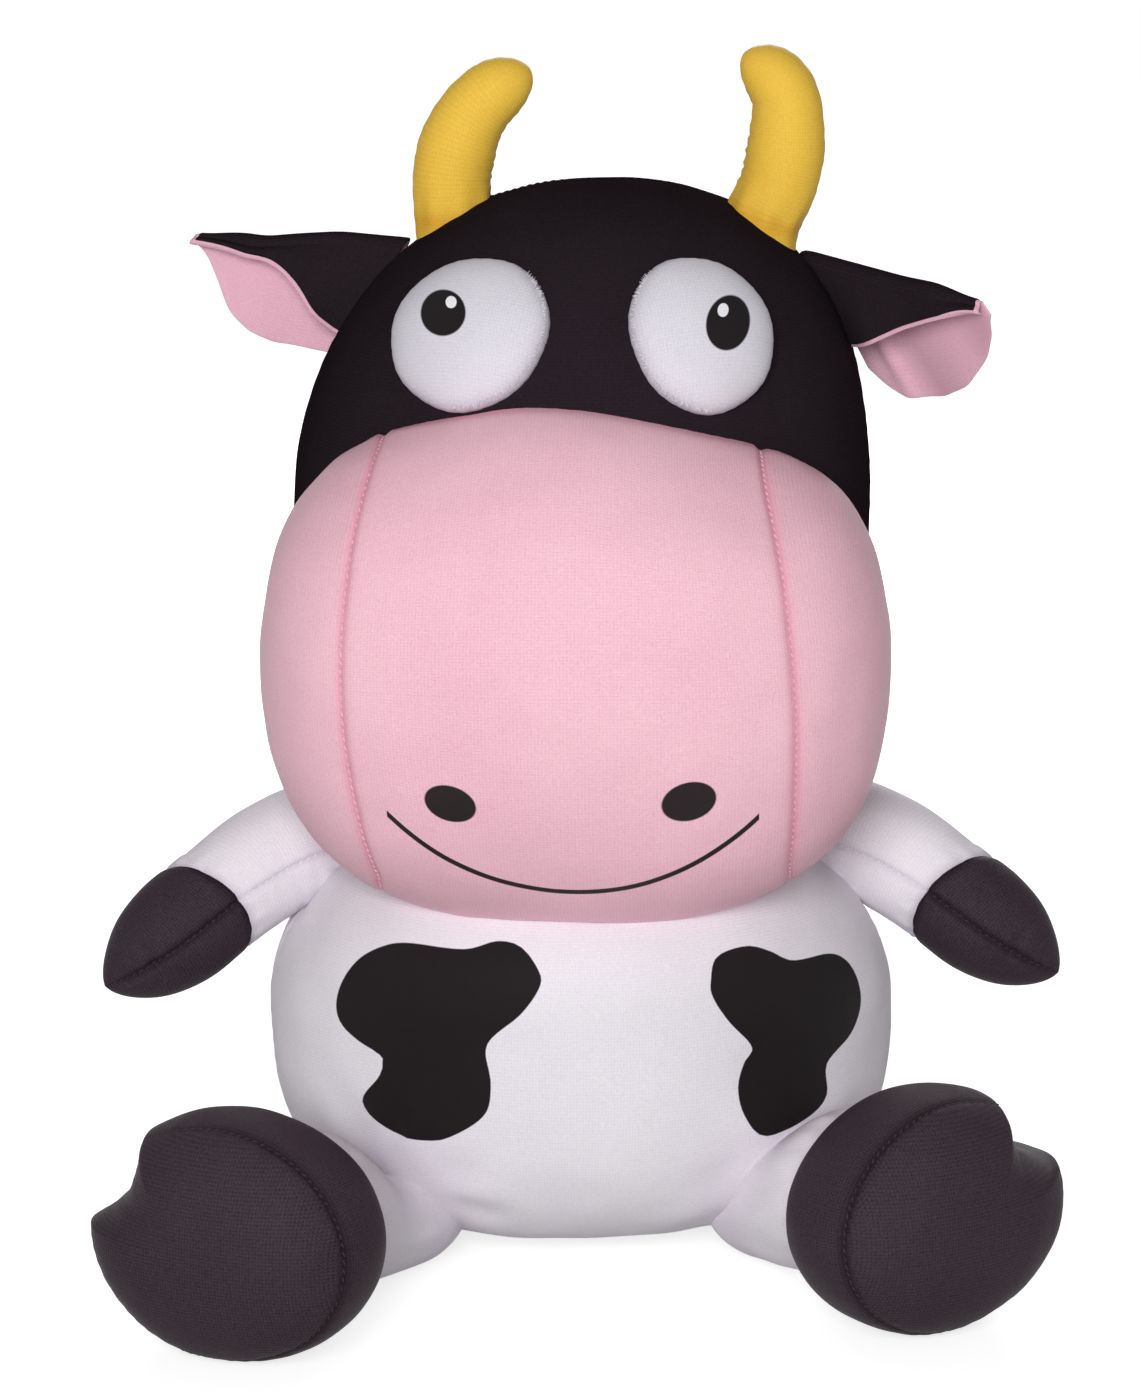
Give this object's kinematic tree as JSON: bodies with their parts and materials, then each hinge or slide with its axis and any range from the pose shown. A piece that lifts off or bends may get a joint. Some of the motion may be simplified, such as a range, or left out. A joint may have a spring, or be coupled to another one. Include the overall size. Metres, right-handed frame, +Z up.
{
  "type": "cow cushion",
  "caption": "Seated cow-shaped bead cushion with a big round muzzle, horns, folded ears and splayed hoofed legs.",
  "frame": {"origin": "on the surface that the cushion sits on, under the middle of its whole box", "axes": "+Z up, the body faces -Y, +X to the right of someone who faces the cow"},
  "size_m": [0.3172, 0.2664, 0.3915],
  "materials": {
    "white_knit": "smooth stretch knit, soft sheen",
    "black_knit": "smooth stretch knit, soft sheen",
    "hoof_knit": "smooth stretch knit, satin sheen",
    "pink_knit": "smooth stretch knit, soft sheen",
    "lining_knit": "smooth stretch knit, matt",
    "yellow_knit": "brushed stretch knit, matt",
    "bead_fill": "loose foam beads"
  },
  "bodies": {
    "torso": {"torso_front_panel": "white_knit", "torso_back_panel": "white_knit", "torso_fill": "bead_fill"},
    "head": {"head_front_panel": "black_knit", "head_back_panel": "black_knit", "muzzle_centre_panel": "pink_knit", "muzzle_left_panel": "pink_knit", "muzzle_right_panel": "pink_knit", "head_fill": "bead_fill", "eye_left_cover": "white_knit", "eye_left_pad": "bead_fill", "horn_left_front_panel": "yellow_knit", "horn_left_back_panel": "yellow_knit", "horn_left_fill": "bead_fill", "eye_right_cover": "white_knit", "eye_right_pad": "bead_fill", "horn_right_front_panel": "yellow_knit", "horn_right_back_panel": "yellow_knit", "horn_right_fill": "bead_fill"},
    "ear_left": {"ear_left_outer": "black_knit", "ear_left_lining": "lining_knit"},
    "arm_left": {"arm_left_sleeve": "white_knit", "hoof_left_upper_panel": "hoof_knit", "hoof_left_lower_panel": "hoof_knit", "arm_left_fill": "bead_fill"},
    "leg_left": {"leg_left_sleeve": "white_knit", "foot_left_upper": "black_knit", "foot_left_sole": "hoof_knit", "leg_left_fill": "bead_fill"},
    "ear_right": {"ear_right_outer": "black_knit", "ear_right_lining": "lining_knit"},
    "arm_right": {"arm_right_sleeve": "white_knit", "hoof_right_upper_panel": "hoof_knit", "hoof_right_lower_panel": "hoof_knit", "arm_right_fill": "bead_fill"},
    "leg_right": {"leg_right_sleeve": "white_knit", "foot_right_upper": "black_knit", "foot_right_sole": "hoof_knit", "leg_right_fill": "bead_fill"}
  },
  "joints": [
    {"name": "neck_turn", "type": "hinge", "parent": "torso", "child": "head", "pos_m": [0, 0.03861, 0.153], "axis": [0, 0, 1], "range_deg": [-6, 18], "stiffness_Nm_per_rad": 0.6},
    {"name": "ear_left_flap", "type": "hinge", "parent": "head", "child": "ear_left", "pos_m": [-0.06643, 0.05967, 0.315], "axis": [-0.4997, 0.0525, -0.8646], "range_deg": [-15, 15], "stiffness_Nm_per_rad": 0.05},
    {"name": "shoulder_left_lift", "type": "hinge", "parent": "torso", "child": "arm_left", "pos_m": [-0.07269, 0.04791, 0.127], "axis": [0, 1, 0], "range_deg": [0, 8], "stiffness_Nm_per_rad": 0.35},
    {"name": "hip_left_lift", "type": "hinge", "parent": "torso", "child": "leg_left", "pos_m": [-0.05991, -0.0213, 0.028], "axis": [-0.8192, 0.5736, 0], "range_deg": [-20, 20], "stiffness_Nm_per_rad": 0.8},
    {"name": "ear_right_flap", "type": "hinge", "parent": "head", "child": "ear_right", "pos_m": [0.08289, 0.04398, 0.31], "axis": [0.45, -0.0473, -0.8918], "range_deg": [-15, 15], "stiffness_Nm_per_rad": 0.05},
    {"name": "shoulder_right_lift", "type": "hinge", "parent": "torso", "child": "arm_right", "pos_m": [0.07269, 0.04791, 0.127], "axis": [0, -1, 0], "range_deg": [0, 8], "stiffness_Nm_per_rad": 0.35},
    {"name": "hip_right_lift", "type": "hinge", "parent": "torso", "child": "leg_right", "pos_m": [0.05991, -0.0213, 0.028], "axis": [-0.829, -0.5592, 0], "range_deg": [-20, 20], "stiffness_Nm_per_rad": 0.8}
  ]
}
